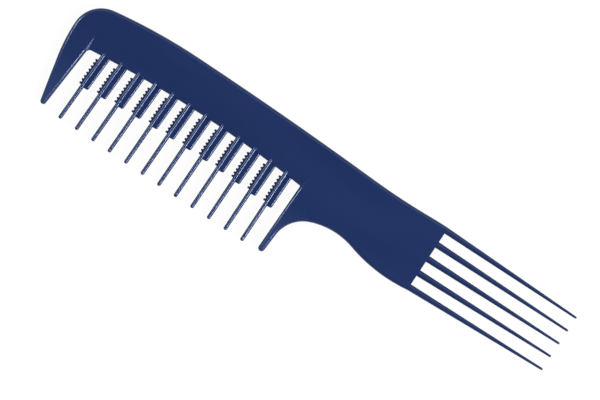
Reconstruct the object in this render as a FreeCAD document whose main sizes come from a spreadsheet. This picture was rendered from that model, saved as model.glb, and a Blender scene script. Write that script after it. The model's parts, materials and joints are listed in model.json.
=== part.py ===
import FreeCAD, Part
import math
import os

import Sketcher
from FreeCAD import Vector

# A flat moulded styling comb with a rake of long teeth and five lift prongs.
# X runs from the front end to the prong tips, Y from the tooth tips to the back
# edge and Z through the thickness. The comb lies on Z = 0, centred on the origin.

# Driving sizes in millimetres, with angles in degrees and plain counts
SIZES = {
    # Along the comb, from the front end to the prong tips
    "front_guard_width": 9.1,
    "first_gap": 5.6,
    "tooth_pitch": 6.885,
    "tooth_count": 12,
    "last_gap": 6.665,
    "guard_to_notch": 19.4,
    "notch_to_belly": 23.6,
    "belly_to_end": 8.1,
    "prong_length": 54.8,
    # Across the comb, from the back edge to the tooth tips
    "spine_depth": 15.88,
    "tooth_length": 29.12,
    "thickness": 4.0,
    "edge_round": 1.2,
    # Front end and back edge
    "front_side_radius": 63.0,
    "corner_radius": 10.9,
    "shoulder_radius": 210.0,
    "back_radius": 1683.0,
    "dip_radius": 245.0,
    "hump_radius": 134.0,
    "front_to_apex": 42.4,
    "notch_to_dip": 11.7,
    # Root line of the teeth
    "root_arch_radius": 436.0,
    "front_to_root_arch": 58.0,
    "front_root_round": 1.6,
    "rear_root_round": 0.6,
    "root_bevel_height": 5.0,
    "root_bevel_depth": 0.6,
    "crease_width": 0.9,
    "front_crease_inset": 0.7,
    "rear_crease_inset": 1.04,
    "rear_crease_lean": 0.8,
    # Guard teeth
    "front_tip_round": 1.05,
    "front_tip_inset": 3.2,
    "front_guard_short": 1.5,
    "rear_tip_round": 1.14,
    "rear_tip_offset": 0.65,
    "rear_guard_short": 0.7,
    "guard_tip_thickness": 2.4,
    "rear_taper_drop": 12.0,
    # Finger notch and belly of the handle
    "notch_radius": 25.9,
    "throat_radius": 11.9,
    "guard_to_throat": 14.1,
    "belly_radius": 58.0,
    # Long teeth
    "tooth_root_width": 1.6,
    "tooth_tip_width": 1.3,
    "tooth_tip_depth": 1.8,
    "tooth_proud": 0.2,
    "tooth_seat": 0.5,
    "tooth_lean_front": 1.8,
    "tooth_lean_rear": 0.1,
    "tip_arch_radius": 2830.0,
    "front_to_tip_arch": 72.8,
    # Teasing pegs
    "peg_count": 8,
    "peg_pitch": 1.37,
    "peg_width": 0.8,
    "peg_reach": 0.86,
    "peg_drop_front": 2.3,
    "peg_drop_rear": 1.78,
    "peg_rail_width": 0.3,
    "peg_rail_depth": 1.0,
    # Side fins
    "fin_width": 1.9,
    "fin_length": 12.9,
    "fin_taper": 0.25,
    "fin_end_slant": 0.25,
    "fin_thickness": 1.4,
    "fin_edge_round": 0.6,
    # Lift prongs
    "prong_count": 5,
    "prong_root_width": 2.3,
    "prong_root_gap": 3.6,
    "prong_tip_width": 0.75,
    "prong_tip_pitch": 5.38,
    "prong_tip_depth": 1.4,
    "prong_tip_rise": 0.7,
    # How far a cutting shape runs past what it cuts
    "overrun": 2.0,
}

# Shares of the sizes that they follow
TIP_ROUND_SHARE = 0.45
EDGE_OF_TIP_SHARE = 0.85
EDGE_OF_GUARD_SHARE = 1.2
EDGE_OF_WALL_SHARE = 0.45
JOINT_LINE_SHARE = 1.2
FLAT_FACE_SHARE = 0.7
UPRIGHT_FACE_SHARE = 0.3
SAME_PLACE_SHARE = 0.001
BEVEL_SWEEP_SHARE = 4

# A rounded nose in three rings: how far forward and how far inward of its radius
NOSE_SHARES = ((0.0, 0.0), (0.6, 0.2), (1.0, 0.7))

# The upright axis, and the numbers a sketch gives its origin and a curve's ends and centre
Z_AXIS = Vector(0, 0, 1)
ORIGIN = (-1, 1)
START, END, CENTRE = range(1, 4)

doc = FreeCAD.newDocument("lift_comb")
sheet = doc.addObject("Spreadsheet::Sheet", "Sizes")
for row, (alias, number) in enumerate(SIZES.items(), start=1):
    sheet.set(f"A{row}", alias)
    sheet.set(f"B{row}", str(number))
    sheet.setAlias(f"B{row}", alias)
doc.recompute()


class Size:
    """A length: its number now, and the formula of named sizes that drives it."""

    def __init__(self, text, value):
        self.text = text
        self.value = value

    def __neg__(self):
        return Size(f"(-{self.text})", -self.value)

    def __add__(self, other):
        return Size(f"({self.text} + {text_of(other)})", self.value + value_of(other))

    def __sub__(self, other):
        return Size(f"({self.text} - {text_of(other)})", self.value - value_of(other))

    def __mul__(self, other):
        return Size(f"({self.text} * {text_of(other)})", self.value * value_of(other))

    def __truediv__(self, other):
        return Size(f"({self.text} / {text_of(other)})", self.value / value_of(other))


def text_of(size):
    return size.text if isinstance(size, Size) else str(size)


def value_of(size):
    return size.value if isinstance(size, Size) else size


def cell(alias):
    return Size(f"Sizes.{alias}", float(sheet.get(alias)))


def count(alias):
    return int(sheet.get(alias))


def least(first, second):
    return Size(f"min({first.text}; {second.text})", min(first.value, second.value))


def leg(long_side, short_side):
    """The other short side of a right-angled triangle."""
    square = long_side * long_side - short_side * short_side
    return Size(f"sqrt{square.text}", math.sqrt(square.value))


# Places worked out from the driving sizes
zero = Size("0", 0)
thickness = cell("thickness")
overrun = cell("overrun")
half_thickness = thickness / 2
tooth_row = cell("tooth_pitch") * (count("tooth_count") - 1)
overall_length = (
    cell("front_guard_width") + cell("first_gap") + tooth_row + cell("last_gap")
    + cell("guard_to_notch") + cell("notch_to_belly") + cell("belly_to_end") + cell("prong_length")
)
front_x = -overall_length / 2
front_inner_x = front_x + cell("front_guard_width")
first_tooth_x = front_inner_x + cell("first_gap")
rear_inner_x = first_tooth_x + tooth_row + cell("last_gap")
notch_x = rear_inner_x + cell("guard_to_notch")
belly_x = notch_x + cell("notch_to_belly")
end_x = belly_x + cell("belly_to_end")
apex_x = front_x + cell("front_to_apex")
dip_x = notch_x + cell("notch_to_dip")
root_arch_x = front_x + cell("front_to_root_arch")
throat_x = rear_inner_x + cell("guard_to_throat")

back_y = (cell("spine_depth") + cell("tooth_length")) / 2
root_y = back_y - cell("spine_depth")
tip_y = -back_y
root_centre_y = root_y - cell("root_arch_radius")
front_tip_y = tip_y + cell("front_guard_short")
rear_tip_y = tip_y + cell("rear_guard_short")

prong_pitch = cell("prong_root_width") + cell("prong_root_gap")
end_width = prong_pitch * (count("prong_count") - 1) + cell("prong_root_width")
dip_reach = leg(cell("back_radius") + cell("dip_radius"), dip_x - apex_x)
dip_centre_y = back_y - cell("back_radius") + dip_reach
hump_reach = leg(cell("dip_radius") + cell("hump_radius"), end_x - dip_x)
end_top_y = dip_centre_y - hump_reach + cell("hump_radius")

tip_wall_round = cell("guard_tip_thickness") * EDGE_OF_WALL_SHARE
edge_round = least(
    least(cell("edge_round"), thickness * EDGE_OF_WALL_SHARE),
    least(cell("front_tip_round"), cell("rear_tip_round")) * EDGE_OF_GUARD_SHARE,
)
front_tip_edge = least(cell("front_tip_round") * EDGE_OF_TIP_SHARE, tip_wall_round)
rear_tip_edge = least(cell("rear_tip_round") * EDGE_OF_TIP_SHARE, tip_wall_round)
prong_edge = least(cell("prong_root_width") * TIP_ROUND_SHARE, edge_round)
fin_edge = least(cell("fin_edge_round"), cell("fin_thickness") * EDGE_OF_WALL_SHARE)
bevel_rise = cell("root_bevel_height")
bevel_depth = cell("root_bevel_depth")


def root_line_y(x):
    """Height of the arched root line at a place along the comb."""
    return root_centre_y + leg(cell("root_arch_radius"), x - root_arch_x)


def tooth_tip_y(x):
    """Height of the gently arched line through the tooth tips."""
    radius = cell("tip_arch_radius")
    return tip_y + radius - leg(radius, x - front_x - cell("front_to_tip_arch"))


front_joint_y = root_line_y(front_inner_x) - cell("front_root_round") * JOINT_LINE_SHARE
rear_taper_y = root_y - cell("rear_taper_drop")

# The guards' stretches along X, and where along Y their thinning starts and their tips begin
guard_stretches = (
    (front_x, first_tooth_x, front_joint_y, front_tip_y + cell("front_tip_round"), front_tip_edge),
    (first_tooth_x, throat_x, rear_taper_y, rear_tip_y + cell("rear_tip_round"), rear_tip_edge),
)


# Helpers for bodies, sketches and their driven sizes
def bind(thing, path, size):
    thing.setExpression(path, size.text)


def bind_place(thing, x, y, z):
    for axis, size in zip("xyz", (x, y, z)):
        bind(thing, f"Placement.Base.{axis}", size)


def new_body(label):
    body = doc.addObject("PartDesign::Body", label)
    body.Label = label
    return body


def new_sketch(body, name, plane, x=None, y=None, z=None):
    """A sketch on one of the body's own planes, moved by driven offsets."""
    sketch = body.newObject("Sketcher::SketchObject", name)
    role = {feature.Role: feature for feature in body.Origin.OriginFeatures}
    sketch.AttachmentSupport = [(role[plane], "")]
    sketch.MapMode = "FlatFace"
    for axis, size in zip("xyz", (x, y, z)):
        if size is not None:
            bind(sketch, f"AttachmentOffset.Base.{axis}", size)
    return sketch


def drive(sketch, kind, places, size):
    """Add a dimension between numbered places of a sketch and bind it."""
    number = sketch.addConstraint(Sketcher.Constraint(kind, *places, size.value))
    bind(sketch, f"Constraints[{number}]", size)


def drive_point(sketch, place, x, y):
    drive(sketch, "DistanceX", (*ORIGIN, *place), x)
    drive(sketch, "DistanceY", (*ORIGIN, *place), y)


def polygon(sketch, points):
    """A closed polygon with every corner driven."""
    corners = [Vector(x.value, y.value, 0) for x, y in points]
    lines = []
    for here, there in zip(corners, corners[1:] + corners[:1]):
        lines.append(sketch.addGeometry(Part.LineSegment(here, there), False))
    for line, following in zip(lines, lines[1:] + lines[:1]):
        sketch.addConstraint(Sketcher.Constraint("Coincident", line, END, following, START))
    for line, (x, y) in zip(lines, points):
        drive_point(sketch, (line, START), x, y)
    return lines


def add_arc(sketch, centre, entry, leave, clockwise):
    """Add an arc; return its number and the numbers of its entry and leaving ends."""
    circle = Part.Circle(centre, Z_AXIS, (entry - centre).Length)
    first, last = (leave, entry) if clockwise else (entry, leave)
    angles = [math.atan2(point.y - centre.y, point.x - centre.x) for point in (first, last)]
    number = sketch.addGeometry(Part.ArcOfCircle(circle, *angles), False)
    return (number, END, START) if clockwise else (number, START, END)


def add_line(sketch, entry, leave):
    return (sketch.addGeometry(Part.LineSegment(entry, leave), False), START, END)


def join_tangent(sketch, first, second):
    places = (first[0], first[2], second[0], second[1])
    sketch.addConstraint(Sketcher.Constraint("Tangent", *places))


def rounded_loop(sketch, corners):
    """A belt round circles given as (x, y, radius), listed anticlockwise."""
    spots = [(Vector(x.value, y.value, 0), radius.value) for x, y, radius in corners]
    normals = []
    for (here, radius), (there, other) in zip(spots, spots[1:] + spots[:1]):
        normals.append(tangent_normal(here, radius, there, other, left_of_travel=False))
    pieces = []
    for number, (centre, radius) in enumerate(spots):
        entry = centre + normals[number - 1] * radius
        leave = centre + normals[number] * radius
        following, other = spots[(number + 1) % len(spots)]
        pieces.append(add_arc(sketch, centre, entry, leave, clockwise=False))
        pieces.append(add_line(sketch, leave, following + normals[number] * other))
    for piece, following in zip(pieces, pieces[1:] + pieces[:1]):
        join_tangent(sketch, piece, following)
    for (x, y, radius), piece in zip(corners, pieces[::2]):
        drive(sketch, "Radius", (piece[0],), radius)
        drive_point(sketch, (piece[0], CENTRE), x, y)


def tangent_normal(here, radius, there, other, left_of_travel):
    """Unit normal of the line tangent to two circles, on one side of the way between them."""
    way = there - here
    along = (radius - other) / way.Length
    across = math.sqrt(1 - along * along)
    forward = way / way.Length
    side = Vector(-forward.y, forward.x, 0) * (1 if left_of_travel else -1)
    return forward * along + side * across


def point_along(line_point, normal, distance_off, centre, reach):
    """Upper point at a distance off a line and at a given reach from a centre."""
    base = line_point + normal * distance_off
    upward = Vector(-normal.y, normal.x, 0) * (1 if normal.x > 0 else -1)
    gap = base - centre
    half = gap.dot(upward)
    return base + upward * (-half + math.sqrt(half * half - gap.dot(gap) + reach * reach))


def pad(body, sketch, length, name):
    feature = body.newObject("PartDesign::Pad", name)
    feature.Profile = sketch
    bind(feature, "Length", length)
    doc.recompute()
    return feature


def round_edges(body, base, names, radius, label):
    feature = body.newObject("PartDesign::Fillet", label)
    feature.Base = (base, names)
    bind(feature, "Radius", radius)
    doc.recompute()
    return feature


def rim_radius(point):
    """Rounding of the rim at a place: it shrinks along the thinned guards and at the prongs."""
    if end_x.value - point.x < thickness.value * SAME_PLACE_SHARE:
        return prong_edge.value
    for left_x, right_x, top_y, low_y, tip_edge in guard_stretches:
        if left_x.value <= point.x < right_x.value:
            share = (point.y - low_y.value) / (top_y.value - low_y.value)
            share = min(1, max(0, share))
            return tip_edge.value + (edge_round.value - tip_edge.value) * share
    return edge_round.value


def rim_rounding(shape):
    """Each edge between an upright wall and a flat face, with its rounding at both ends."""
    rows = []
    for number, edge in enumerate(shape.Edges, start=1):
        places = [edge.FirstParameter, edge.LastParameter]
        if edge.Orientation == "Reversed":
            places.reverse()
        ends = [edge.valueAt(place) for place in places]
        middle = edge.valueAt(sum(places) / len(places))
        tilts = []
        for face in shape.ancestorsOfType(edge, Part.Face):
            tilts.append(abs(face.normalAt(*face.Surface.parameter(middle)).z))
        on_rim = max(tilts) > FLAT_FACE_SHARE and min(tilts) < UPRIGHT_FACE_SHARE
        on_end = min(point.x for point in ends) > end_x.value - thickness.value * SAME_PLACE_SHARE
        if on_rim and not on_end:
            rows.append((number, *[rim_radius(point) for point in ends]))
    return rows


def end_edges(shape, axis, place):
    """Edges that lie wholly in the end plane at a place along an axis."""
    names = []
    for number, edge in enumerate(shape.Edges, start=1):
        offsets = [abs(getattr(vertex.Point, axis) - place) for vertex in edge.Vertexes]
        if max(offsets) < SAME_PLACE_SHARE * thickness.value:
            names.append(f"Edge{number}")
    return names


# The flat blank: spine, guard teeth and handle in one outline, rounded all round
def blank_outline(body):
    sketch = new_sketch(body, "blank_outline", "XY_Plane")
    radius = {name: cell(name).value for name in SIZES}

    corner_x = front_x.value + radius["corner_radius"]
    shoulder = Vector(apex_x.value, back_y.value - radius["shoulder_radius"], 0)
    inside = radius["shoulder_radius"] - radius["corner_radius"]
    left_y = shoulder.y + math.sqrt(inside**2 - (shoulder.x - corner_x) ** 2)
    corner = Vector(corner_x, left_y, 0)
    front_side = Vector(front_x.value + radius["front_side_radius"], left_y, 0)
    back = Vector(apex_x.value, back_y.value - radius["back_radius"], 0)
    dip = Vector(dip_x.value, dip_centre_y.value, 0)
    hump = Vector(end_x.value, end_top_y.value - radius["hump_radius"], 0)
    end_top = Vector(end_x.value, end_top_y.value, 0)
    end_low = Vector(end_x.value, end_top_y.value - end_width.value, 0)
    fall = math.sqrt(radius["belly_radius"] ** 2 - radius["belly_to_end"] ** 2)
    belly = Vector(belly_x.value, end_low.y + fall, 0)
    reach = radius["belly_radius"] + radius["notch_radius"]
    notch_y = belly.y - math.sqrt(reach**2 - radius["notch_to_belly"] ** 2)
    notch = Vector(notch_x.value, notch_y, 0)
    inside = radius["notch_radius"] - radius["throat_radius"]
    throat_y = notch.y + math.sqrt(inside**2 - (notch_x.value - throat_x.value) ** 2)
    throat = Vector(throat_x.value, throat_y, 0)
    root = Vector(root_arch_x.value, root_centre_y.value, 0)

    front_mark = Vector(front_inner_x.value, root_y.value, 0)
    rear_mark = Vector(rear_inner_x.value, root_y.value, 0)
    front_tip = Vector(
        front_mark.x - radius["front_tip_inset"], front_tip_y.value + radius["front_tip_round"], 0
    )
    rear_tip = Vector(
        rear_mark.x + radius["rear_tip_offset"], rear_tip_y.value + radius["rear_tip_round"], 0
    )
    front_out = tangent_normal(
        front_tip, radius["front_tip_round"], front_side, radius["front_side_radius"], True
    )
    front_in = tangent_normal(front_tip, radius["front_tip_round"], front_mark, 0, False)
    rear_out = tangent_normal(
        rear_tip, radius["rear_tip_round"], throat, -radius["throat_radius"], False
    )
    rear_in = tangent_normal(rear_tip, radius["rear_tip_round"], rear_mark, 0, True)
    front_root = point_along(
        front_mark, front_in, radius["front_root_round"], root,
        radius["root_arch_radius"] - radius["front_root_round"],
    )
    rear_root = point_along(
        rear_mark, rear_in, radius["rear_root_round"], root,
        radius["root_arch_radius"] - radius["rear_root_round"],
    )

    def towards(centre, other, distance):
        return centre + (other - centre).normalize() * distance

    # Places where one stretch of the outline runs into the next, clockwise
    leftmost = Vector(front_x.value, left_y, 0)
    apex = Vector(apex_x.value, back_y.value, 0)
    tip_left = front_tip + front_out * radius["front_tip_round"]
    tip_right = front_tip + front_in * radius["front_tip_round"]
    side_low = front_side + front_out * radius["front_side_radius"]
    corner_top = towards(shoulder, corner, radius["shoulder_radius"])
    back_end = towards(back, dip, radius["back_radius"])
    dip_end = towards(dip, hump, radius["dip_radius"])
    belly_end = towards(belly, notch, radius["belly_radius"])
    notch_end = towards(notch, throat, radius["notch_radius"])
    throat_end = throat - rear_out * radius["throat_radius"]
    rear_right = rear_tip + rear_out * radius["rear_tip_round"]
    rear_left = rear_tip + rear_in * radius["rear_tip_round"]
    rear_low = rear_root - rear_in * radius["rear_root_round"]
    rear_high = towards(root, rear_root, radius["root_arch_radius"])
    front_high = towards(root, front_root, radius["root_arch_radius"])
    front_low = front_root - front_in * radius["front_root_round"]

    arcs = {}
    arcs["front_tip_round"] = add_arc(sketch, front_tip, tip_right, tip_left, True)
    front_outer = add_line(sketch, tip_left, side_low)
    arcs["front_side_radius"] = add_arc(sketch, front_side, side_low, leftmost, True)
    arcs["corner_radius"] = add_arc(sketch, corner, leftmost, corner_top, True)
    arcs["shoulder_radius"] = add_arc(sketch, shoulder, corner_top, apex, True)
    arcs["back_radius"] = add_arc(sketch, back, apex, back_end, True)
    arcs["dip_radius"] = add_arc(sketch, dip, back_end, dip_end, False)
    arcs["hump_radius"] = add_arc(sketch, hump, dip_end, end_top, True)
    end = add_line(sketch, end_top, end_low)
    arcs["belly_radius"] = add_arc(sketch, belly, end_low, belly_end, True)
    arcs["notch_radius"] = add_arc(sketch, notch, belly_end, notch_end, False)
    arcs["throat_radius"] = add_arc(sketch, throat, notch_end, throat_end, False)
    rear_outer = add_line(sketch, throat_end, rear_right)
    arcs["rear_tip_round"] = add_arc(sketch, rear_tip, rear_right, rear_left, True)
    rear_inner = add_line(sketch, rear_left, rear_low)
    arcs["rear_root_round"] = add_arc(sketch, rear_root, rear_low, rear_high, False)
    arcs["root_arch_radius"] = add_arc(sketch, root, rear_high, front_high, False)
    arcs["front_root_round"] = add_arc(sketch, front_root, front_high, front_low, False)
    front_inner = add_line(sketch, front_low, tip_right)

    upper_chain = [arcs["front_tip_round"], front_outer] + [
        arcs[name] for name in (
            "front_side_radius", "corner_radius", "shoulder_radius", "back_radius",
            "dip_radius", "hump_radius",
        )
    ]
    lower_chain = [
        arcs["belly_radius"], arcs["notch_radius"], arcs["throat_radius"], rear_outer,
        arcs["rear_tip_round"], rear_inner, arcs["rear_root_round"], arcs["root_arch_radius"],
        arcs["front_root_round"], front_inner, arcs["front_tip_round"],
    ]
    for chain in (upper_chain, lower_chain):
        for piece, following in zip(chain, chain[1:]):
            join_tangent(sketch, piece, following)
    for piece, following in ((arcs["hump_radius"], end), (end, arcs["belly_radius"])):
        places = (piece[0], piece[2], following[0], following[1])
        sketch.addConstraint(Sketcher.Constraint("Coincident", *places))
    for name, arc in arcs.items():
        drive(sketch, "Radius", (arc[0],), cell(name))

    def centre_of(name):
        return (arcs[name][0], CENTRE)

    def entry_of(name):
        return (arcs[name][0], arcs[name][1])

    # Front end and back edge
    leftmost_place = entry_of("corner_radius")
    apex_place = entry_of("back_radius")
    drive(sketch, "DistanceX", (*ORIGIN, *leftmost_place), front_x)
    level_places = (*centre_of("corner_radius"), *leftmost_place)
    sketch.addConstraint(Sketcher.Constraint("Horizontal", *level_places))
    drive(sketch, "DistanceY", (*ORIGIN, *apex_place), back_y)
    drive(sketch, "DistanceX", (*leftmost_place, *apex_place), cell("front_to_apex"))
    sketch.addConstraint(Sketcher.Constraint("Vertical", *centre_of("back_radius"), *apex_place))
    # Handle
    end_place = (end[0], START)
    sketch.addConstraint(Sketcher.Constraint("Vertical", *centre_of("hump_radius"), *end_place))
    sketch.addConstraint(Sketcher.Constraint("Vertical", end[0]))
    drive(sketch, "Distance", (end[0],), end_width)
    drive(sketch, "DistanceX", (*centre_of("belly_radius"), *end_place), cell("belly_to_end"))
    drive(
        sketch, "DistanceX", (*centre_of("notch_radius"), *centre_of("belly_radius")),
        cell("notch_to_belly"),
    )
    drive(
        sketch, "DistanceX", (*centre_of("notch_radius"), *centre_of("dip_radius")),
        cell("notch_to_dip"),
    )
    # Guard teeth, each set by a mark on its inner edge at the height of the root line
    marks = {}
    for name, spot, line, x in (
        ("front", front_mark, front_inner, front_inner_x),
        ("rear", rear_mark, rear_inner, rear_inner_x),
    ):
        point = sketch.addGeometry(Part.Point(spot), True)
        marks[name] = (point, START)
        sketch.addConstraint(Sketcher.Constraint("PointOnObject", *marks[name], line[0]))
        drive_point(sketch, marks[name], x, root_y)
    drive(
        sketch, "DistanceX", (*marks["rear"], *centre_of("notch_radius")), cell("guard_to_notch")
    )
    drive(
        sketch, "DistanceX", (*marks["rear"], *centre_of("throat_radius")), cell("guard_to_throat")
    )
    drive(
        sketch, "DistanceX", (*centre_of("front_tip_round"), *marks["front"]),
        cell("front_tip_inset"),
    )
    drive(
        sketch, "DistanceX", (*marks["rear"], *centre_of("rear_tip_round")), cell("rear_tip_offset")
    )
    front_level = front_tip_y + cell("front_tip_round")
    rear_level = rear_tip_y + cell("rear_tip_round")
    drive(sketch, "DistanceY", (*ORIGIN, *centre_of("front_tip_round")), front_level)
    drive(sketch, "DistanceY", (*ORIGIN, *centre_of("rear_tip_round")), rear_level)
    # Root line
    drive_point(sketch, centre_of("root_arch_radius"), root_arch_x, root_centre_y)
    return sketch


def thin_guard(body, name, plane_x, reach, start_y, low_y, backwards):
    """Thin a guard tooth towards its tip on both faces, along a tangent arc."""
    sketch = new_sketch(body, f"{name}_side", "YZ_Plane", z=plane_x)
    far_y = low_y - overrun
    drop = (thickness - cell("guard_tip_thickness")) / 2
    run = start_y - far_y
    radius = (run * run + drop * drop) / (drop * 2)
    for face, outward in ((thickness, 1), (zero, -1)):
        beyond = face + overrun * outward
        far_z = face - drop * outward
        centre = Vector(start_y.value, face.value - outward * radius.value, 0)
        start = Vector(start_y.value, face.value, 0)
        far = Vector(far_y.value, far_z.value, 0)
        arc = add_arc(sketch, centre, start, far, clockwise=outward < 0)
        corners = [far, Vector(far_y.value, beyond.value, 0), Vector(start_y.value, beyond.value, 0)]
        lines = [add_line(sketch, here, there) for here, there in zip(corners, corners[1:] + [start])]
        ring = [arc, *lines]
        for piece, following in zip(ring, ring[1:] + ring[:1]):
            places = (piece[0], piece[2], following[0], following[1])
            sketch.addConstraint(Sketcher.Constraint("Coincident", *places))
        drive_point(sketch, (arc[0], arc[1]), start_y, face)
        drive_point(sketch, (arc[0], arc[2]), far_y, far_z)
        sketch.addConstraint(Sketcher.Constraint("Vertical", arc[0], CENTRE, arc[0], arc[1]))
        drive_point(sketch, (lines[1][0], START), far_y, beyond)
        drive_point(sketch, (lines[2][0], START), start_y, beyond)
    before = body.Shape.Volume
    feature = body.newObject("PartDesign::Pocket", f"{name}_thinning")
    feature.Profile = sketch
    feature.Reversed = backwards
    bind(feature, "Length", reach)
    doc.recompute()
    if body.Shape.Volume >= before:
        raise RuntimeError(f"{name}: the thinning cut nothing")
    return feature


def make_blank():
    body = new_body("blank")
    pad(body, blank_outline(body), thickness, "blank_plate")
    half_gap = cell("first_gap") / 2
    thin_guard(
        body, "front_guard", front_inner_x + half_gap,
        cell("front_guard_width") + half_gap + overrun, front_joint_y, front_tip_y, False,
    )
    last = thin_guard(
        body, "rear_guard", rear_inner_x - half_gap, half_gap + cell("guard_to_throat"),
        rear_taper_y, rear_tip_y, True,
    )
    rounded = doc.addObject("Part::Fillet", "rounded_blank")
    rounded.Base = body
    rounded.Edges = rim_rounding(last.Shape)
    doc.recompute()
    return rounded


# The root bevel: both faces fall away towards the root line, between the guard teeth
def make_bevel_ring():
    body = new_body("bevel_ring")
    sketch = new_sketch(body, "bevel_section", "YZ_Plane", x=root_centre_y, z=root_arch_x)
    top = cell("root_arch_radius") + bevel_rise
    low = cell("root_arch_radius") - overrun
    fall = bevel_depth * (bevel_rise + overrun) / bevel_rise
    polygon(sketch, [
        (top, thickness), (top, thickness + overrun), (low, thickness + overrun), (low, thickness - fall),
    ])
    polygon(sketch, [(top, zero), (low, fall), (low, -overrun), (top, -overrun)])
    ring = body.newObject("PartDesign::Revolution", "bevel_sweep")
    ring.Profile = sketch
    ring.ReferenceAxis = (sketch, ["V_Axis"])
    ring.Midplane = True
    lean = cell("front_to_root_arch") / cell("root_arch_radius")
    ring.setExpression("Angle", f"{BEVEL_SWEEP_SHARE} * asin({lean.text})")
    doc.recompute()
    return body


def make_tooth_zone():
    """The stretch between the guard teeth; its slanting end walls leave a crease at each root."""
    body = new_body("tooth_zone")
    rise = bevel_rise + overrun
    low_y = root_y - rise
    high_y = root_y + rise
    front_way = cell("front_tip_inset") - cell("front_tip_round")
    front_lean = front_way / (root_y - front_tip_y - cell("front_tip_round")) * rise
    rear_lean = cell("rear_crease_lean")
    outlines = []
    for name, level, depth in (
        ("low", -overrun, -overrun),
        ("middle", half_thickness, half_thickness),
        ("high", thickness + overrun, -overrun),
    ):
        slant = cell("crease_width") * depth / bevel_depth
        front = front_inner_x - cell("front_crease_inset") + slant
        rear = rear_inner_x + cell("rear_crease_inset") - slant
        outline = new_sketch(body, f"tooth_zone_{name}", "XY_Plane", z=level)
        polygon(outline, [
            (front - front_lean, low_y), (rear - rear_lean, low_y),
            (rear + rear_lean, high_y), (front + front_lean, high_y),
        ])
        outlines.append(outline)
    loft = body.newObject("PartDesign::AdditiveLoft", "tooth_zone_block")
    loft.Profile = outlines[0]
    loft.Sections = outlines[1:]
    loft.Ruled = True
    doc.recompute()
    return body


def boolean(kind, label, base, tool):
    feature = doc.addObject(kind, label)
    feature.Label = label
    feature.Base = base
    feature.Tool = tool
    doc.recompute()
    return feature


def zone_block(label, x0, x1, y0, y1):
    """A block through the whole thickness, used to part the blank into its pieces."""
    block = doc.addObject("Part::Box", label)
    bind(block, "Length", x1 - x0)
    bind(block, "Width", y1 - y0)
    bind(block, "Height", thickness + overrun * 2)
    bind_place(block, x0, y0, -overrun)
    return block


def make_rear_zone():
    """Everything below a slanted line from the rear root corner down to the notch."""
    body = new_body("rear_zone")
    sketch = new_sketch(body, "rear_zone_outline", "XY_Plane", z=-overrun)
    gap_x = rear_inner_x - cell("last_gap") / 2
    corner_x = rear_inner_x - cell("rear_root_round") / 2
    high_y = root_line_y(rear_inner_x) - cell("rear_root_round")
    low_y = rear_taper_y - overrun
    polygon(sketch, [
        (gap_x, high_y), (gap_x, tip_y - overrun),
        (throat_x, tip_y - overrun), (throat_x, low_y), (corner_x, high_y),
    ])
    pad(body, sketch, thickness + overrun * 2, "rear_zone_block")
    return body


# Long teeth, each in a frame of its own: the root line is at its Y = 0
def tooth_frame(body, number):
    share = number / (count("tooth_count") - 1)
    x = first_tooth_x + cell("tooth_pitch") * number
    lean = cell("tooth_lean_front") * (1 - share) + cell("tooth_lean_rear") * share
    body.Placement = FreeCAD.Placement(Vector(), FreeCAD.Rotation(Z_AXIS, -lean.value))
    bind_place(body, x, root_line_y(x), half_thickness)
    bind(body, "Placement.Rotation.Angle", -lean)
    return x


def slot_section(sketch, width, depth):
    """A round-ended slot, deeper through the thickness than it is wide."""
    offset = (depth - width) / 2
    rounded_loop(sketch, [(zero, -offset, width / 2), (zero, offset, width / 2)])


def make_long_tooth(number):
    body = new_body(f"long_tooth_{number + 1:02d}")
    x = tooth_frame(body, number)
    length = root_line_y(x) - tooth_tip_y(x)
    recess = bevel_depth - cell("tooth_proud")
    seat = bevel_rise * cell("tooth_proud") / bevel_depth + cell("tooth_seat")
    root = new_sketch(body, f"tooth_root_{number}", "XZ_Plane", z=-seat)
    slot_section(root, cell("tooth_root_width"), thickness - recess * 2)
    tip = new_sketch(body, f"tooth_tip_{number}", "XZ_Plane", z=length)
    slot_section(tip, cell("tooth_tip_width"), cell("tooth_tip_depth"))
    loft = body.newObject("PartDesign::AdditiveLoft", f"tooth_taper_{number}")
    loft.Profile = root
    loft.Sections = [tip]
    loft.Ruled = True
    doc.recompute()
    names = end_edges(loft.Shape, "y", -length.value)
    tip_round = cell("tooth_tip_width") * TIP_ROUND_SHARE
    round_edges(body, loft, names, tip_round, f"tooth_tip_round_{number}")
    return body


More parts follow.
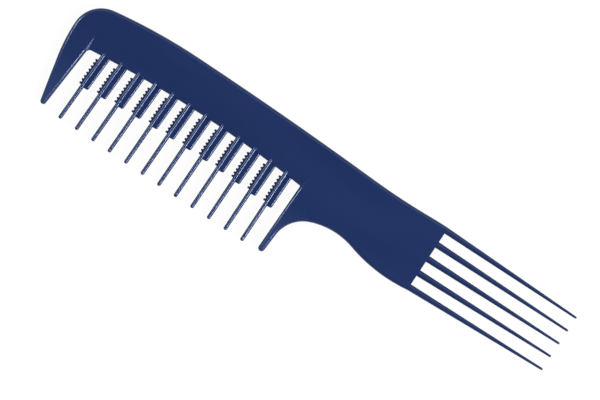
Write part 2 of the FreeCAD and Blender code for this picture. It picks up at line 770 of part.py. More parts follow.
def make_serrated_edge(number, tooth):
    """A row of round-ended pegs on a thin rail along the tooth's front flank."""
    body = new_body(f"pegs_{number + 1:02d}")
    tooth_frame(body, number)
    share = number / (count("tooth_count") - 1)
    first_drop = cell("peg_drop_front") * (1 - share) + cell("peg_drop_rear") * share
    half_tooth = cell("tooth_root_width") / 2
    inner = -half_tooth / 2
    rail_edge = -half_tooth - cell("peg_rail_width")
    half_peg = cell("peg_width") / 2
    row = cell("peg_pitch") * (count("peg_count") - 1)
    rail_top = half_peg - first_drop
    rail_low = -first_drop - row - half_peg
    rail = new_sketch(body, f"peg_rail_{number}", "XY_Plane", z=-cell("peg_rail_depth") / 2)
    polygon(rail, [(inner, rail_top), (rail_edge, rail_top), (rail_edge, rail_low), (inner, rail_low)])
    pad(body, rail, cell("peg_rail_depth"), f"peg_rail_bar_{number}")

    section = new_sketch(body, f"peg_section_{number}", "XY_Plane", y=-first_drop)
    tip_x = -half_tooth - cell("peg_reach")
    shoulder_x = tip_x + half_peg
    spots = [Vector(x.value, y.value, 0) for x, y in (
        (tip_x, zero), (inner, zero), (inner, half_peg), (shoulder_x, half_peg),
    )]
    lines = [add_line(section, here, there) for here, there in zip(spots, spots[1:])]
    centre = Vector(shoulder_x.value, 0, 0)
    nose = add_arc(section, centre, spots[-1], spots[0], clockwise=False)
    ring = [*lines, nose]
    for piece, following in zip(ring, ring[1:] + ring[:1]):
        places = (piece[0], piece[2], following[0], following[1])
        section.addConstraint(Sketcher.Constraint("Coincident", *places))
    drive_point(section, (lines[0][0], START), tip_x, zero)
    drive_point(section, (lines[1][0], START), inner, zero)
    drive_point(section, (lines[2][0], START), inner, half_peg)
    drive_point(section, (lines[2][0], END), shoulder_x, half_peg)
    drive(section, "Radius", (nose[0],), half_peg)
    peg = body.newObject("PartDesign::Revolution", f"peg_{number}")
    peg.Profile = section
    peg.ReferenceAxis = (section, ["H_Axis"])
    doc.recompute()
    pegs = body.newObject("PartDesign::LinearPattern", f"peg_row_{number}")
    pegs.Originals = [peg]
    pegs.Direction = (section, ["V_Axis"])
    pegs.Reversed = True
    bind(pegs, "Length", row)
    pegs.Occurrences = count("peg_count")
    body.Tip = pegs
    doc.recompute()
    return boolean("Part::Cut", f"serrated_edge_{number + 1:02d}", body, tooth)


def make_side_fin(number, tooth, bevelled):
    """The flat fin on the tooth's handle side, fitted to the tooth and the spine."""
    body = new_body(f"fin_{number + 1:02d}")
    tooth_frame(body, number)
    outline = new_sketch(body, f"fin_outline_{number}", "XY_Plane", z=-cell("fin_thickness") / 2)
    edge_x = cell("tooth_root_width") / 2 + cell("fin_width")
    top_y = bevel_rise / 2
    end_y = cell("fin_end_slant") - cell("fin_length")
    polygon(outline, [
        (zero, top_y), (zero, -cell("fin_length")), (edge_x - cell("fin_taper"), end_y), (edge_x, top_y),
    ])
    plate = pad(body, outline, cell("fin_thickness"), f"fin_plate_{number}")
    keep = cell("tooth_root_width").value / 2
    names = []
    for edge_number, edge in enumerate(plate.Shape.Edges, start=1):
        middle = edge.valueAt((edge.FirstParameter + edge.LastParameter) / 2)
        if middle.x > keep and middle.y < top_y.value / 2:
            names.append(f"Edge{edge_number}")
    round_edges(body, plate, names, fin_edge, f"fin_rounding_{number}")
    clear_of_tooth = boolean("Part::Cut", f"fin_beside_tooth_{number + 1:02d}", body, tooth)
    return boolean("Part::Cut", f"side_fin_{number + 1:02d}", clear_of_tooth, bevelled)


# Lift prongs, each in a frame at its root on the end of the handle
def make_lift_prong(number):
    body = new_body(f"lift_prong_{number + 1}")
    middle = (count("prong_count") - 1) / 2
    root_place = end_top_y - cell("prong_root_width") / 2 - prong_pitch * number
    bind_place(body, end_x, root_place, half_thickness)
    fan = (prong_pitch - cell("prong_tip_pitch")) * (number - middle)
    shift = cell("prong_tip_rise") + fan

    def section(name, x, centre_y, width, depth, radius):
        sketch = new_sketch(body, name, "YZ_Plane", z=x)
        side = width / 2 - radius
        level = depth / 2 - radius
        rounded_loop(sketch, [
            (centre_y - side, -level, radius), (centre_y + side, -level, radius),
            (centre_y + side, level, radius), (centre_y - side, level, radius),
        ])
        return sketch

    root = section(
        f"prong_root_{number}", zero, zero, cell("prong_root_width"), thickness, prong_edge
    )
    nose = cell("prong_tip_width") / 2
    rings = []
    for ring, (forward_share, inward_share) in enumerate(NOSE_SHARES):
        width = cell("prong_tip_width") - nose * inward_share * 2
        rings.append(section(
            f"prong_nose_{number}_{ring}", cell("prong_length") - nose * (1 - forward_share), shift,
            width, cell("prong_tip_depth") - nose * inward_share * 2, width * TIP_ROUND_SHARE,
        ))
    loft = body.newObject("PartDesign::AdditiveLoft", f"prong_taper_{number}")
    loft.Profile = root
    loft.Sections = rings
    loft.Ruled = True
    doc.recompute()
    return body


blank = make_blank()
bevel_cutter = boolean("Part::Common", "bevel_cutter", make_bevel_ring(), make_tooth_zone())
bevelled = boolean("Part::Cut", "bevelled_blank", blank, bevel_cutter)
teeth = [make_long_tooth(number) for number in range(count("tooth_count"))]
all_teeth = doc.addObject("Part::MultiFuse", "all_teeth")
all_teeth.Shapes = teeth

part_x = rear_inner_x - cell("rear_root_round") * JOINT_LINE_SHARE
spine_zone = zone_block("spine_zone", front_x - overrun, part_x, front_joint_y, back_y + overrun)
front_zone = zone_block("front_zone", front_x - overrun, first_tooth_x, tip_y - overrun, front_joint_y)
handle_zone = zone_block("handle_zone", part_x, end_x + overrun, tip_y - overrun, back_y + overrun)
rear_zone = make_rear_zone()

spine_bar = boolean("Part::Common", "spine_bar", bevelled, spine_zone)
handle_end = boolean("Part::Common", "handle_end", bevelled, handle_zone)
nodes = [
    boolean("Part::Cut", "spine", spine_bar, all_teeth),
    boolean("Part::Common", "front_guard_tooth", bevelled, front_zone),
    boolean("Part::Common", "rear_guard_tooth", bevelled, rear_zone),
    boolean("Part::Cut", "handle", handle_end, rear_zone),
]
nodes += teeth
for number, tooth in enumerate(teeth):
    nodes.append(make_serrated_edge(number, tooth))
    nodes.append(make_side_fin(number, tooth, bevelled))
nodes += [make_lift_prong(number) for number in range(count("prong_count"))]

# Checks before anything is written
doc.recompute()
for thing in doc.Objects:
    if "Invalid" in thing.State or "Error" in thing.State:
        raise RuntimeError(f"{thing.Label} failed: {thing.State}")
for thing in doc.findObjects("Sketcher::SketchObject"):
    if not thing.FullyConstrained:
        raise RuntimeError(f"{thing.Label} is not fully set by its sizes")
for node in nodes:
    if node.Shape.isNull() or not node.Shape.isValid() or not node.Shape.Solids:
        raise RuntimeError(f"{node.Label} has no valid solid")

os.makedirs("parts", exist_ok=True)
for node in nodes:
    node.Shape.exportStep(f"parts/{node.Label}.step")
    print(f"{node.Label}: {len(node.Shape.Solids)} solid, {node.Shape.Volume:.2f} mm3")
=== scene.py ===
"""Finish and studio of a moulded lift comb, laid out as an add-on and run as a script.

The packed comb is the fixed frame. Its pieces get a moulded navy plastic, a fine parting
line is added round the rim, and the studio is a white floor, soft lights and a camera above.
"""

import json
import math

import bmesh
import bpy
from bpy.props import FloatProperty, FloatVectorProperty, PointerProperty
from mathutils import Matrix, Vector
from mathutils.bvhtree import BVHTree

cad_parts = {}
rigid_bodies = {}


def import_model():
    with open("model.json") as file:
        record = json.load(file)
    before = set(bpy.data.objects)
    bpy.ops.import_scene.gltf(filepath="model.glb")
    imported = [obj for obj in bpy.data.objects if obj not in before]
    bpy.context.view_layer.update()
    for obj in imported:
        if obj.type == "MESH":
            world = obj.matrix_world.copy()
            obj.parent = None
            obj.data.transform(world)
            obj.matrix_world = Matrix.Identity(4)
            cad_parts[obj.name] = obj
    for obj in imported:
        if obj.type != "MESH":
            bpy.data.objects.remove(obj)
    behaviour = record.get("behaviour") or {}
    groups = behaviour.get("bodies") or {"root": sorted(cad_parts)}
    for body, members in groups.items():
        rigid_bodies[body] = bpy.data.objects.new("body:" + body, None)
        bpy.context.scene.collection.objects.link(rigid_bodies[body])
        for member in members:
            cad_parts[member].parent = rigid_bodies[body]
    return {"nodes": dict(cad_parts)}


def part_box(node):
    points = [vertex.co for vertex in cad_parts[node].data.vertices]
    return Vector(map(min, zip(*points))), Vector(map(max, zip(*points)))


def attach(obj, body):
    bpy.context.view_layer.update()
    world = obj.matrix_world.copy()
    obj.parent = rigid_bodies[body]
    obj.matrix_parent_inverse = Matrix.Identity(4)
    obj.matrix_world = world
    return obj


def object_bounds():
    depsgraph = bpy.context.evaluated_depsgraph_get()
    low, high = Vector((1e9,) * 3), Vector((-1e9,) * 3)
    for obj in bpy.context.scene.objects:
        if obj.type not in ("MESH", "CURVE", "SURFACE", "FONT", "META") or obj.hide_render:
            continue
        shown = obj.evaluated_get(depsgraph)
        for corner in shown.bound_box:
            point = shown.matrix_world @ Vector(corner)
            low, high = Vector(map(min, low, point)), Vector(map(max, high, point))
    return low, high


for leftover in list(bpy.data.objects):
    bpy.data.objects.remove(leftover)
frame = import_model()
CAD_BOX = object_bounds()

bl_info = {
    "name": "Lift comb finish",
    "version": (1, 0, 0),
    "blender": (4, 5, 0),
    "location": "View3D > Sidebar > Comb",
    "description": "Dresses a moulded lift comb and sets up its studio",
    "category": "Object",
}

BODY = "root"
MM = 0.001

# Places taken from the packed comb
LOW_CORNER, HIGH_CORNER = CAD_BOX
MIDDLE_LEVEL = (LOW_CORNER.z + HIGH_CORNER.z) / 2
GUARD_TOP_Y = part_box("front_guard_tooth")[1].y

# Ways that the melt ran: along the comb, and down the teeth
FLOW_STRETCH = 0.18
ALONG_COMB = (FLOW_STRETCH, 1.0, 1.0)
DOWN_TEETH = (1.0, FLOW_STRETCH, 1.0)

# Scratches: their directions, how far they are drawn out, and which shares of the noise show
SCRATCH_TURNS = (0.15, -0.5, 1.25)
SCRATCH_STRETCH = (0.02, 1.0, 1.0)
SCRATCH_BAND = (0.66, 0.74)
# Patches that hold scratches: their width in scratch spacings, and which shares of the noise show
SCRATCH_PATCH_SHARE = 30.0
SCRATCH_PATCH_BAND = (0.45, 0.65)
# Streaks and rubbed edges: which shares of the noise show
FLOW_BAND = (0.35, 0.68)
RUB_BAND = (0.42, 0.68)
# Walls: the range of flatness over which the polish fades
WALL_BAND = (0.3, 0.75)
# How much rougher scratches, streaks and walls are than the plain polish
SCRATCH_DULLING = 0.03
STREAK_DULLING = 0.05
WALL_DULLING = 0.4
# Noise: how much finer detail the fine and the broad kinds have
FINE_DETAIL = 2.0
BROAD_DETAIL = 1.0
# A share times its rest is a quarter at most, and this lifts it to one
QUARTER_LIFT = 4.0
# The colour sockets of a mix node, which have the same names as its sockets of other kinds
MIX_SHARE, MIX_FIRST, MIX_SECOND = 0, 6, 7
MIX_RESULT = 2
OPAQUE = 1.0
# Parting line: the pieces that it runs round, and the digits that tell two places apart
PARTED_PIECES = (
    "spine", "handle", "front_guard", "rear_guard", "long_tooth", "side_fin", "lift_prong",
)
KEY_DIGITS = 7
# Bearings of the comb's two ends, where the soft lights stand
PRONG_END = 0.0
FRONT_END = math.pi
# Room: the rise over which it darkens from the floor up, and the stretches over which the glow
# past the comb's back edge sets in, towards the back and upwards
HORIZON_BAND = (0.06, 0.22)
BACK_BAND = (0.25, 0.45)
BACK_RISE_BAND = (0.42, 0.55)
# Camera: its clipping distances, as shares of its distance from the comb
CLIP_SHARES = (0.1, 20.0)


class CombFinish(bpy.types.PropertyGroup):
    """Colours and surface sizes of the moulded plastic."""

    navy: FloatVectorProperty(
        name="Navy", description="Main colour of the plastic", subtype="COLOR",
        size=3, min=0.0, max=1.0, default=(0.0104, 0.0236, 0.0900),
    )
    flow_navy: FloatVectorProperty(
        name="Flow navy", description="Colour of the streaks that the melt left", subtype="COLOR",
        size=3, min=0.0, max=1.0, default=(0.0112, 0.0251, 0.0945),
    )
    # Painted light: a paler colour painted on the thin guard tips, as if light came through them.
    painted_light_navy: FloatVectorProperty(
        name="Thin navy", description="Colour where thin plastic lets light through",
        subtype="COLOR", size=3, min=0.0, max=1.0, default=(0.024, 0.046, 0.128),
    )
    edge_navy: FloatVectorProperty(
        name="Edge navy", description="Colour of edges rubbed by hands and hair", subtype="COLOR",
        size=3, min=0.0, max=1.0, default=(0.018, 0.036, 0.108),
    )
    roughness: FloatProperty(
        name="Roughness", description="Roughness of the satin gloss", subtype="FACTOR",
        min=0.0, max=1.0, default=0.19,
    )
    gloss_tint: FloatVectorProperty(
        name="Gloss tint", description="Faint blue of the plastic's gloss", subtype="COLOR",
        size=3, min=0.0, max=1.0, default=(0.64, 0.75, 1.0),
    )
    index: FloatProperty(
        name="Index", description="Refractive index of the plastic", min=1.0, max=3.0, default=1.48,
    )
    flow_size: FloatProperty(
        name="Flow size", description="Width of the streaks that the melt left", unit="LENGTH",
        default=8.0 * MM,
    )
    peel_size: FloatProperty(
        name="Peel size", description="Width of the surface's faint ripples", unit="LENGTH",
        default=1.3 * MM,
    )
    peel_height: FloatProperty(
        name="Peel height", description="Height of the surface's faint ripples", unit="LENGTH",
        default=0.004 * MM,
    )
    scratch_size: FloatProperty(
        name="Scratch size", description="Spacing of the hairline scratches", unit="LENGTH",
        default=0.22 * MM,
    )
    scratch_depth: FloatProperty(
        name="Scratch depth", description="Depth of the hairline scratches", unit="LENGTH",
        default=0.0004 * MM,
    )


class CombParting(bpy.types.PropertyGroup):
    """Sizes of the fine ridge that the mould halves leave."""

    width: FloatProperty(
        name="Width", description="Width of the ridge at its foot", unit="LENGTH",
        default=0.16 * MM,
    )
    height: FloatProperty(
        name="Height", description="How far the ridge stands off the wall", unit="LENGTH",
        default=0.04 * MM,
    )
    sink: FloatProperty(
        name="Sink", description="How far the ridge's foot lies inside the wall", unit="LENGTH",
        default=0.03 * MM,
    )
    least_run: FloatProperty(
        name="Least run", description="Shorter stretches are left plain", unit="LENGTH",
        default=1.5 * MM,
    )


class CombStudio(bpy.types.PropertyGroup):
    """Camera, lights and floor."""

    lens: FloatProperty(
        name="Lens", description="Focal length in millimetres", subtype="DISTANCE_CAMERA",
        default=200.0,
    )
    sensor: FloatProperty(
        name="Sensor", description="Sensor width in millimetres", subtype="DISTANCE_CAMERA",
        default=36.0,
    )
    view_width: FloatProperty(
        name="View width", description="Width of the picture at the comb", unit="LENGTH",
        default=209.55 * MM,
    )
    view_turn: FloatProperty(
        name="View turn", description="Turn of the camera about the upright axis", subtype="ANGLE",
        default=math.radians(33.52),
    )
    view_centre: FloatVectorProperty(
        name="View centre", description="Place under the middle of the picture", subtype="XYZ",
        size=2, default=(-1.80 * MM, 0.71 * MM),
    )
    light_distance: FloatProperty(
        name="Light distance", description="From the comb to each soft light", unit="LENGTH",
        default=1.0,
    )
    light_height: FloatProperty(
        name="Light height", description="Angle of the soft lights above the floor",
        subtype="ANGLE", default=math.radians(44.0),
    )
    light_width: FloatProperty(
        name="Light width", description="Level side of each soft light", unit="LENGTH",
        default=0.20,
    )
    light_tallness: FloatProperty(
        name="Light tallness", description="Upright side of each soft light", unit="LENGTH",
        default=0.34,
    )
    key_power: FloatProperty(
        name="Key power", description="Power of the light at the prong end", unit="POWER",
        default=9.9,
    )
    fill_power: FloatProperty(
        name="Fill power", description="Power of the light at the front end", unit="POWER",
        default=4.8,
    )
    fill_swing: FloatProperty(
        name="Fill swing", description="Turn of the front end's light towards the comb's back",
        subtype="ANGLE", default=math.radians(5.0),
    )
    zenith_glow: FloatProperty(
        name="Zenith glow", description="Brightness of the room overhead", default=0.08,
    )
    horizon_glow: FloatProperty(
        name="Horizon glow", description="Brightness of the room at floor level", default=1.0,
    )
    back_glow: FloatProperty(
        name="Back glow", description="Brightness of the room past the back edge", default=1.4,
    )
    floor_size: FloatProperty(
        name="Floor size", description="Side of the floor", unit="LENGTH", default=12.0,
    )
    floor_drop: FloatProperty(
        name="Floor drop", description="Gap that keeps the floor off the comb's face",
        unit="LENGTH", default=0.02 * MM,
    )
    floor_shade: FloatProperty(
        name="Floor shade", description="Share of the floor's white that shadows can take away",
        subtype="FACTOR", min=0.0, max=1.0, default=0.07,
    )


def pieces_called(*starts):
    """The packed pieces whose names start with one of these words, in order of name."""
    found = [frame["nodes"][name] for name in sorted(frame["nodes"]) if name.startswith(starts)]
    if not found:
        raise RuntimeError(f"the packed comb has no piece called {starts}")
    return found


# Shader helpers
def add_node(tree, kind, inputs=None, **settings):
    """Add a shader node; an input is a number, a colour or the socket that feeds it."""
    node = tree.nodes.new(kind)
    for key, value in settings.items():
        setattr(node, key, value)
    for key, value in (inputs or {}).items():
        if isinstance(value, bpy.types.NodeSocket):
            tree.links.new(value, node.inputs[key])
        else:
            node.inputs[key].default_value = value
    return node


def calculate(tree, operation, first, second=0.0):
    """The result of one sum on numbers or sockets."""
    node = add_node(tree, "ShaderNodeMath", {0: first, 1: second}, operation=operation)
    return node.outputs[0]


def ramp(tree, value, low, high, to_low=0.0, to_high=1.0):
    """A value carried smoothly from one range into another."""
    inputs = {
        "Value": value, "From Min": low, "From Max": high, "To Min": to_low, "To Max": to_high,
    }
    node = add_node(tree, "ShaderNodeMapRange", inputs, interpolation_type="SMOOTHSTEP")
    return node.outputs["Result"]


def mix_colours(tree, share, first, second):
    """A colour between two others; each is three numbers or a socket."""
    sockets = {MIX_SHARE: share}
    for place, colour in ((MIX_FIRST, first), (MIX_SECOND, second)):
        sockets[place] = colour if isinstance(colour, bpy.types.NodeSocket) else (*colour, OPAQUE)
    return add_node(tree, "ShaderNodeMix", sockets, data_type="RGBA").outputs[MIX_RESULT]


def noise(tree, place, size, stretch=(1.0, 1.0, 1.0), turn=0.0, detail=FINE_DETAIL):
    """Soft noise with patches of this size, drawn out along each axis whose stretch is small."""
    turned = add_node(tree, "ShaderNodeMapping", {"Vector": place, "Rotation": (0.0, 0.0, turn)})
    drawn = add_node(tree, "ShaderNodeMapping", {"Vector": turned.outputs[0], "Scale": stretch})
    inputs = {"Vector": drawn.outputs[0], "Scale": 1 / size, "Detail": detail}
    return add_node(tree, "ShaderNodeTexNoise", inputs).outputs[0]


def hairlines(tree, place, size):
    """Sparse hairline scratches in a few directions, as a mask."""
    lines = 0.0
    for turn in SCRATCH_TURNS:
        strand = ramp(tree, noise(tree, place, size, SCRATCH_STRETCH, turn), *SCRATCH_BAND)
        lines = calculate(tree, "MAXIMUM", strand, lines)
    patches = ramp(tree, noise(tree, place, size * SCRATCH_PATCH_SHARE), *SCRATCH_PATCH_BAND)
    return calculate(tree, "MULTIPLY", lines, patches)


def flatness(tree):
    """How level the surface lies: 1 on the flat faces, 0 on the walls."""
    normal = add_node(tree, "ShaderNodeNewGeometry").outputs["Normal"]
    upright = add_node(tree, "ShaderNodeSeparateXYZ", {0: normal}).outputs["Z"]
    return calculate(tree, "ABSOLUTE", upright)


def rubbed_edges(tree, place, size):
    """Mask of the rounded edges between the flat faces and the walls, broken up a little."""
    level = flatness(tree)
    leaning = calculate(tree, "SUBTRACT", 1.0, level)
    half_way = calculate(tree, "MULTIPLY", level, leaning)
    rounding = calculate(tree, "MULTIPLY", half_way, QUARTER_LIFT)
    return calculate(tree, "MULTIPLY", rounding, ramp(tree, noise(tree, place, size), *RUB_BAND))


def painted_light_towards_tips(tree, place):
    """Mask of painted light that grows from the root of the guard teeth to their thin tips."""
    level = add_node(tree, "ShaderNodeSeparateXYZ", {0: place}).outputs["Y"]
    return ramp(tree, level, GUARD_TOP_Y, LOW_CORNER.y)


def moulded_plastic(name, finish, flow, painted_light_mask=None):
    """Satin moulded plastic: flow streaks, rubbed edges, faint ripples and hairline scratches."""
    material = bpy.data.materials.new(name)
    material.use_nodes = True
    tree = material.node_tree
    tree.nodes.clear()
    place = add_node(tree, "ShaderNodeTexCoord").outputs["Object"]

    streaks = noise(tree, place, finish.flow_size, flow, detail=BROAD_DETAIL)
    rubbed = rubbed_edges(tree, place, finish.flow_size)
    scratches = hairlines(tree, place, finish.scratch_size)
    colour = mix_colours(tree, ramp(tree, streaks, *FLOW_BAND), finish.navy, finish.flow_navy)
    # Painted light: the guard teeth are painted paler towards their thin tips.
    if painted_light_mask:
        colour = mix_colours(tree, painted_light_mask(tree, place), colour, finish.painted_light_navy)
    colour = mix_colours(tree, rubbed, colour, finish.edge_navy)

    gloss = ramp(tree, streaks, *FLOW_BAND, finish.roughness, finish.roughness + STREAK_DULLING)
    gloss = calculate(tree, "ADD", gloss, calculate(tree, "MULTIPLY", scratches, SCRATCH_DULLING))
    wall_dulling = ramp(tree, flatness(tree), *WALL_BAND, WALL_DULLING, 0.0)
    gloss = calculate(tree, "ADD", gloss, wall_dulling)

    ripples = noise(tree, place, finish.peel_size, detail=BROAD_DETAIL)
    peel = add_node(tree, "ShaderNodeBump", {"Height": ripples, "Distance": finish.peel_height})
    grooves = add_node(tree, "ShaderNodeBump", {
        "Height": scratches, "Distance": finish.scratch_depth, "Normal": peel.outputs[0],
    }, invert=True)
    shader = add_node(tree, "ShaderNodeBsdfPrincipled", {
        "Base Color": colour, "Roughness": gloss, "Normal": grooves.outputs[0], "IOR": finish.index,
        "Specular Tint": (*finish.gloss_tint, OPAQUE),
    })
    add_node(tree, "ShaderNodeOutputMaterial", {"Surface": shader.outputs[0]})
    return material


def dress(pieces, material):
    """Give these pieces a material in all their slots."""
    for piece in pieces:
        for slot in piece.material_slots:
            slot.material = material


# The parting line: where the mould halves met, half way through the thickness
def level_cut(piece, level):
    """Loose segments where a level plane cuts a piece's walls."""
    shell = bmesh.new()
    shell.from_mesh(piece.data)
    everything = shell.verts[:] + shell.edges[:] + shell.faces[:]
    cut = bmesh.ops.bisect_plane(shell, geom=everything, plane_co=(0, 0, level), plane_no=(0, 0, 1))
    segments = []
    for part in cut["geom_cut"]:
        if isinstance(part, bmesh.types.BMEdge):
            segments.append([end.co.copy() for end in part.verts])
    shell.free()
    return segments


def wall_tree(piece):
    """A search tree of a piece's faces."""
    mesh = piece.data
    corners = [vertex.co for vertex in mesh.vertices]
    return BVHTree.FromPolygons(corners, [polygon.vertices for polygon in mesh.polygons])


def is_covered(point, trees, reach):
    """Whether a point lies just inside one of these pieces."""
    for tree in trees:
        spot, normal, _, _ = tree.find_nearest(point, reach)
        if spot is not None and (point - spot).dot(normal) < 0:
            return True
    return False


def place_key(point):
    """A place as rounded numbers, the same for every segment that ends there."""
    return tuple(round(number, KEY_DIGITS) for number in point)


def open_segments(piece, trees, parting):
    """The piece's segments at mid thickness that no neighbour covers, each with its outward way."""
    own = trees[piece.name]
    others = [tree for name, tree in trees.items() if name != piece.name]
    kept = {}
    for start, end in level_cut(piece, MIDDLE_LEVEL):
        middle = (start + end) / 2
        outward = own.find_nearest(middle)[1].copy()
        outward.z = 0.0
        outward.normalize()
        if is_covered(middle + outward * parting.sink, others, parting.width):
            continue
        ends = (place_key(start), place_key(end))
        if ends[0] != ends[1]:
            kept[ends] = outward
    return kept


def join_runs(segments):
    """Chain segments end to end; give each run's places, outward ways and whether it closes."""
    links = {}
    for (start, end), outward in segments.items():
        links.setdefault(start, []).append((end, outward))
        links.setdefault(end, []).append((start, outward))
    loose_first = sorted(links, key=lambda place: (len(links[place]) != 1, place))
    runs = []
    for first in loose_first:
        places, ways = [first], []
        while links[places[-1]]:
            here = places[-1]
            there, outward = links[here].pop()
            links[there] = [link for link in links[there] if link[0] != here]
            places.append(there)
            ways.append(outward)
        if ways:
            runs.append((places, ways, places[0] == places[-1]))
    return runs


def add_ridge(shell, places, ways, closed, parting):
    """Sweep the ridge's three-cornered section along one run."""
    before = [ways[-1] if closed else ways[0]] + ways
    after = ways + [ways[0] if closed else ways[-1]]
    rings = []
    for place, first, second in zip(places, before, after):
        outward = (first + second).normalized()
        wall = Vector(place)
        half = Vector((0.0, 0.0, parting.width / 2))
        foot = wall - outward * parting.sink
        corners = (foot + half, wall + outward * parting.height, foot - half)
        rings.append([shell.verts.new(corner) for corner in corners])
    if closed:
        for vertex in rings.pop():
            shell.verts.remove(vertex)
        rings.append(rings[0])
    else:
        shell.faces.new(rings[0])
        shell.faces.new(rings[-1])
    for here, there in zip(rings, rings[1:]):
        for number in range(len(here)):
            shell.faces.new((here[number - 1], here[number], there[number], there[number - 1]))


def parting_line(parting):
    """One mesh of all the ridges round the comb's rim."""
    trees = {name: wall_tree(piece) for name, piece in frame["nodes"].items()}
    shell = bmesh.new()
    for piece in pieces_called(*PARTED_PIECES):
        for places, ways, closed in join_runs(open_segments(piece, trees, parting)):
            length = sum(math.dist(here, there) for here, there in zip(places, places[1:]))
            if length > parting.least_run:
                add_ridge(shell, places, ways, closed, parting)
    if not shell.faces:
        raise RuntimeError("the parting line found no wall to run along")
    bmesh.ops.recalc_face_normals(shell, faces=shell.faces)
    mesh = bpy.data.meshes.new("parting_line")
    shell.to_mesh(mesh)
    shell.free()
    return mesh


# Studio
def white_floor(studio):
    """A floor that shows white and still takes a soft shadow."""
    material = bpy.data.materials.new("white_floor")
    material.use_nodes = True
    tree = material.node_tree
    tree.nodes.clear()
    rays = add_node(tree, "ShaderNodeLightPath").outputs
    seen = calculate(tree, "MAXIMUM", rays["Is Camera Ray"], rays["Is Glossy Ray"])
    seen = calculate(tree, "MAXIMUM", seen, rays["Is Transmission Ray"])
    strength = calculate(tree, "MULTIPLY", seen, 1 - studio.floor_shade)
    glow = add_node(tree, "ShaderNodeEmission", {"Strength": strength})
    shade = (studio.floor_shade,) * 3
    paper = add_node(tree, "ShaderNodeBsdfDiffuse", {"Color": (*shade, OPAQUE)})
    both = add_node(tree, "ShaderNodeAddShader", {0: glow.outputs[0], 1: paper.outputs[0]})
    add_node(tree, "ShaderNodeOutputMaterial", {"Surface": both.outputs[0]})
    return material


def add_floor(studio):
    """A wide level floor just under the comb."""
    half = studio.floor_size / 2
    level = LOW_CORNER.z - studio.floor_drop
    mesh = bpy.data.meshes.new("floor")
    outline = ((-half, -half), (half, -half), (half, half), (-half, half))
    mesh.from_pydata([(*corner, level) for corner in outline], [], [range(len(outline))])
    mesh.materials.append(white_floor(studio))
    floor = bpy.data.objects.new("floor", mesh)
    bpy.context.scene.collection.objects.link(floor)


def add_soft_light(name, bearing, power, studio):
    """A soft light on one side of the comb, aimed at it."""
    lamp = bpy.data.lights.new(name, "AREA")
    lamp.shape = "RECTANGLE"
    lamp.size = studio.light_width
    lamp.size_y = studio.light_tallness
    lamp.energy = power
    light = bpy.data.objects.new(name, lamp)
    bpy.context.scene.collection.objects.link(light)
    level = math.cos(studio.light_height)
    rise = math.sin(studio.light_height)
    outward = Vector((level * math.cos(bearing), level * math.sin(bearing), rise))
    light.location = outward * studio.light_distance
    light.rotation_euler = outward.to_track_quat("Z", "Y").to_euler()


def add_camera(studio):
    """A camera that looks straight down on the comb."""
    lens = bpy.data.cameras.new("camera")
    lens.lens = studio.lens
    lens.sensor_width = studio.sensor
    camera = bpy.data.objects.new("camera", lens)
    bpy.context.scene.collection.objects.link(camera)
    distance = studio.view_width * studio.lens / studio.sensor
    camera.location = (*studio.view_centre, MIDDLE_LEVEL + distance)
    camera.rotation_euler = (0.0, 0.0, studio.view_turn)
    lens.clip_start = distance * CLIP_SHARES[0]
    lens.clip_end = distance * CLIP_SHARES[1]
    bpy.context.scene.camera = camera


def set_room(studio):
    """A dim room: dark overhead, pale at floor level and past the comb's back edge."""
    world = bpy.data.worlds.new("room")
    world.use_nodes = True
    tree = world.node_tree
    tree.nodes.clear()
    way = add_node(tree, "ShaderNodeTexCoord").outputs["Generated"]
    parts = add_node(tree, "ShaderNodeSeparateXYZ", {0: way}).outputs
    rise = parts["Z"]
    all_round = ramp(tree, rise, *HORIZON_BAND, studio.horizon_glow, studio.zenith_glow)
    past_back = ramp(tree, parts["Y"], *BACK_BAND, 0.0, studio.back_glow)
    past_back = calculate(tree, "MULTIPLY", past_back, ramp(tree, rise, *BACK_RISE_BAND))
    strength = calculate(tree, "ADD", all_round, past_back)
    sky = add_node(tree, "ShaderNodeBackground", {"Strength": strength})
    add_node(tree, "ShaderNodeOutputWorld", {"Surface": sky.outputs[0]})
    bpy.context.scene.world = world


# Operators, one for each group of like pieces and one for the stage
class COMB_OT_finish_body(bpy.types.Operator):
    """Give the spine and the handle their moulded finish"""

    bl_idname = "comb.finish_body"
    bl_label = "Finish spine and handle"

    def execute(self, context):
        plastic = moulded_plastic("moulded_body", context.scene.comb_finish, ALONG_COMB)
        dress(pieces_called("spine", "handle"), plastic)
        return {"FINISHED"}


class COMB_OT_finish_guards(bpy.types.Operator):
    """Give the guard teeth their finish, with painted light that makes them paler towards the thin
    tips
    """

    bl_idname = "comb.finish_guards"
    bl_label = "Finish guard teeth"

    def execute(self, context):
        finish = context.scene.comb_finish
        plastic = moulded_plastic("moulded_guards", finish, ALONG_COMB, painted_light_towards_tips)
        dress(pieces_called("front_guard_tooth", "rear_guard_tooth"), plastic)
        return {"FINISHED"}


class COMB_OT_finish_teeth(bpy.types.Operator):
    """Give the long teeth a finish with streaks that run down them"""

    bl_idname = "comb.finish_teeth"
    bl_label = "Finish long teeth"

    def execute(self, context):
        plastic = moulded_plastic("moulded_teeth", context.scene.comb_finish, DOWN_TEETH)
        dress(pieces_called("long_tooth"), plastic)
        return {"FINISHED"}


class COMB_OT_finish_pegs(bpy.types.Operator):
    """Give the rows of teasing pegs their finish"""

    bl_idname = "comb.finish_pegs"
    bl_label = "Finish serrated edges"

    def execute(self, context):
        plastic = moulded_plastic("moulded_pegs", context.scene.comb_finish, ALONG_COMB)
        dress(pieces_called("serrated_edge"), plastic)
        return {"FINISHED"}


class COMB_OT_finish_fins(bpy.types.Operator):
    """Give the side fins a finish with streaks that run down them"""

    bl_idname = "comb.finish_fins"
    bl_label = "Finish side fins"

    def execute(self, context):
        plastic = moulded_plastic("moulded_fins", context.scene.comb_finish, DOWN_TEETH)
        dress(pieces_called("side_fin"), plastic)
        return {"FINISHED"}


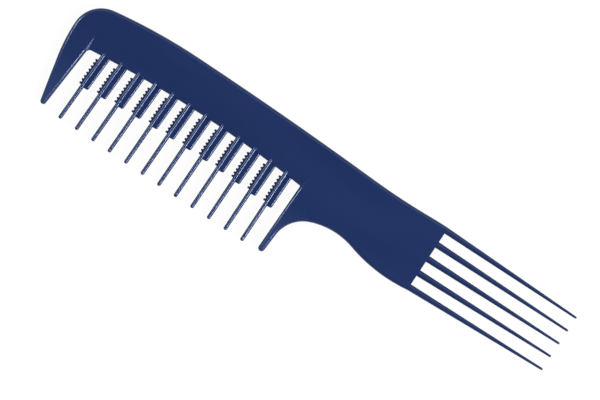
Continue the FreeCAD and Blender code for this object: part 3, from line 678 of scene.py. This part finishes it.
class COMB_OT_finish_prongs(bpy.types.Operator):
    """Give the lift prongs a finish with streaks that run along them"""

    bl_idname = "comb.finish_prongs"
    bl_label = "Finish lift prongs"

    def execute(self, context):
        plastic = moulded_plastic("moulded_prongs", context.scene.comb_finish, ALONG_COMB)
        dress(pieces_called("lift_prong"), plastic)
        return {"FINISHED"}


class COMB_OT_add_parting_line(bpy.types.Operator):
    """Add the fine ridge that the mould halves leave round the rim"""

    bl_idname = "comb.add_parting_line"
    bl_label = "Add parting line"

    def execute(self, context):
        mesh = parting_line(context.scene.comb_parting)
        plastic = moulded_plastic("trimmed_ridge", context.scene.comb_finish, ALONG_COMB)
        mesh.materials.append(plastic)
        line = bpy.data.objects.new("parting_line", mesh)
        context.scene.collection.objects.link(line)
        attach(line, BODY)
        return {"FINISHED"}


class COMB_OT_set_stage(bpy.types.Operator):
    """Set up the white floor, the soft lights, the room and the camera"""

    bl_idname = "comb.set_stage"
    bl_label = "Set stage"

    def execute(self, context):
        studio = context.scene.comb_studio
        add_floor(studio)
        add_soft_light("key_light", PRONG_END, studio.key_power, studio)
        add_soft_light("fill_light", FRONT_END - studio.fill_swing, studio.fill_power, studio)
        set_room(studio)
        add_camera(studio)
        context.scene.view_settings.view_transform = "Standard"
        return {"FINISHED"}


SETTINGS = {"comb_finish": CombFinish, "comb_parting": CombParting, "comb_studio": CombStudio}
OPERATORS = (
    COMB_OT_finish_body, COMB_OT_finish_guards, COMB_OT_finish_teeth, COMB_OT_finish_pegs,
    COMB_OT_finish_fins, COMB_OT_finish_prongs, COMB_OT_add_parting_line, COMB_OT_set_stage,
)


class COMB_PT_panel(bpy.types.Panel):
    """The comb's settings and the steps that use them"""

    bl_idname = "COMB_PT_panel"
    bl_label = "Lift comb"
    bl_space_type = "VIEW_3D"
    bl_region_type = "UI"
    bl_category = "Comb"

    def draw(self, context):
        for operator in OPERATORS:
            self.layout.operator(operator.bl_idname)
        for name, group in SETTINGS.items():
            box = self.layout.box()
            box.label(text=group.__doc__)
            for key in group.__annotations__:
                box.prop(getattr(context.scene, name), key)


def register():
    for group in (*SETTINGS.values(), *OPERATORS, COMB_PT_panel):
        bpy.utils.register_class(group)
    for name, group in SETTINGS.items():
        setattr(bpy.types.Scene, name, PointerProperty(type=group))


def unregister():
    for name in SETTINGS:
        delattr(bpy.types.Scene, name)
    for group in (COMB_PT_panel, *OPERATORS, *SETTINGS.values()):
        bpy.utils.unregister_class(group)


def main():
    """Dress the comb and set its stage."""
    register()
    bpy.ops.comb.finish_body()
    bpy.ops.comb.finish_guards()
    bpy.ops.comb.finish_teeth()
    bpy.ops.comb.finish_pegs()
    bpy.ops.comb.finish_fins()
    bpy.ops.comb.finish_prongs()
    bpy.ops.comb.add_parting_line()
    bpy.ops.comb.set_stage()


if __name__ == "__main__":
    main()
